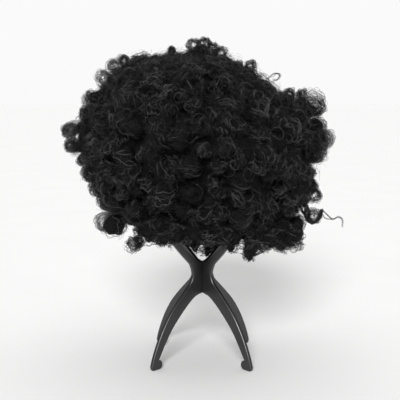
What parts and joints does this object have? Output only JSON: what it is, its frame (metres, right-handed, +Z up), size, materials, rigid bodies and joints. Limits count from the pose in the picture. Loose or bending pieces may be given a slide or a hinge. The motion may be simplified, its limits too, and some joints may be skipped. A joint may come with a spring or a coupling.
{
  "type": "curly wig on a cross-plate wig stand",
  "caption": "Full black curly wig resting on a slot-together plastic wig stand with crossed plates, curved legs and a dome arch under a net cap.",
  "frame": {"origin": "on the floor under the stand's axis, at the middle of the bounding box's bottom", "axes": "+Z up along the axis of the stand, -Y towards the front; the two plates stand on the diagonals"},
  "size_m": [0.3714, 0.3346, 0.411],
  "materials": {
    "stand_plastic": "satin moulded black plastic with a fine grain",
    "cap_net": "black stretch net",
    "elastic_tape": "black woven elastic and sewn tape",
    "comb_plastic": "dark moulded plastic",
    "hook_steel": "black enamelled wire hook",
    "curly_hair": "black curly synthetic fibre, soft sheen"
  },
  "bodies": {
    "stand_base": {"frame_a": "stand_plastic"},
    "stand_cross": {"frame_b": "stand_plastic"},
    "front_comb": {"comb_front": "comb_plastic"},
    "back_comb": {"comb_back": "comb_plastic"},
    "left_comb": {"comb_left": "comb_plastic"},
    "right_comb": {"comb_right": "comb_plastic"},
    "left_strap": {"nape_strap_left": "elastic_tape", "strap_hook_left": "hook_steel"},
    "right_strap": {"nape_strap_right": "elastic_tape", "strap_hook_right": "hook_steel"},
    "wig": {"cap_crown": "cap_net", "cap_edge_band": "elastic_tape", "cap_panel_1": "cap_net", "cap_panel_2": "cap_net", "cap_panel_3": "cap_net", "cap_panel_4": "cap_net", "cap_panel_5": "cap_net", "cap_panel_6": "cap_net", "cap_panel_7": "cap_net", "cap_panel_8": "cap_net", "ear_tab_left": "elastic_tape", "ear_tab_right": "elastic_tape", "hair_crown": "curly_hair", "hair_fringe_1": "curly_hair", "hair_fringe_2": "curly_hair", "hair_fringe_3": "curly_hair", "hair_fringe_4": "curly_hair", "hair_fringe_5": "curly_hair", "hair_fringe_6": "curly_hair", "hair_fringe_7": "curly_hair", "hair_fringe_8": "curly_hair", "hair_lower_1": "curly_hair", "hair_lower_2": "curly_hair", "hair_lower_3": "curly_hair", "hair_lower_4": "curly_hair", "hair_lower_5": "curly_hair", "hair_lower_6": "curly_hair", "hair_lower_7": "curly_hair", "hair_lower_8": "curly_hair", "hair_middle_1": "curly_hair", "hair_middle_2": "curly_hair", "hair_middle_3": "curly_hair", "hair_middle_4": "curly_hair", "hair_middle_5": "curly_hair", "hair_middle_6": "curly_hair", "hair_upper_1": "curly_hair", "hair_upper_2": "curly_hair", "hair_upper_3": "curly_hair", "hair_upper_4": "curly_hair", "hair_upper_5": "curly_hair", "hair_upper_6": "curly_hair", "loose_curl_left": "curly_hair", "nape_loop_tape": "elastic_tape", "ringlet_right": "curly_hair", "strap_channel_left": "elastic_tape", "strap_channel_right": "elastic_tape", "weft_track_1": "elastic_tape", "weft_track_2": "elastic_tape", "weft_track_3": "elastic_tape", "weft_track_4": "elastic_tape"}
  },
  "joints": [
    {"name": "stand_cross_lift", "type": "slide", "parent": "stand_base", "child": "stand_cross", "axis": [0, 0, 1], "range_m": [0, 0.265]},
    {"name": "wig_lift", "type": "slide", "parent": "stand_cross", "child": "wig", "axis": [0, 0, 1], "range_m": [0, 0.24]},
    {"name": "front_comb_tip", "type": "hinge", "parent": "wig", "child": "front_comb", "pos_m": [0, -0.0776, 0.221], "axis": [-1, 0, 0], "range_deg": [0, 25], "stiffness_Nm_per_rad": 0.002, "springref_deg": -20.05},
    {"name": "back_comb_tip", "type": "hinge", "parent": "wig", "child": "back_comb", "pos_m": [0, 0.0776, 0.221], "axis": [1, 0, 0], "range_deg": [0, 25], "stiffness_Nm_per_rad": 0.002, "springref_deg": -20.05},
    {"name": "left_comb_tip", "type": "hinge", "parent": "wig", "child": "left_comb", "pos_m": [-0.0776, 0, 0.221], "axis": [0, 1, 0], "range_deg": [0, 25], "stiffness_Nm_per_rad": 0.002, "springref_deg": -20.05},
    {"name": "right_comb_tip", "type": "hinge", "parent": "wig", "child": "right_comb", "pos_m": [0.0776, 0, 0.221], "axis": [0, -1, 0], "range_deg": [0, 25], "stiffness_Nm_per_rad": 0.002, "springref_deg": -20.05},
    {"name": "left_strap_adjust", "type": "hinge", "parent": "wig", "child": "left_strap", "pos_m": [0, 0, 0.2066], "axis": [0, 0, -1], "range_deg": [0, 7.2]},
    {"name": "right_strap_adjust", "type": "hinge", "parent": "wig", "child": "right_strap", "pos_m": [0, 0, 0.2066], "axis": [0, 0, 1], "range_deg": [0, 7.2]}
  ]
}
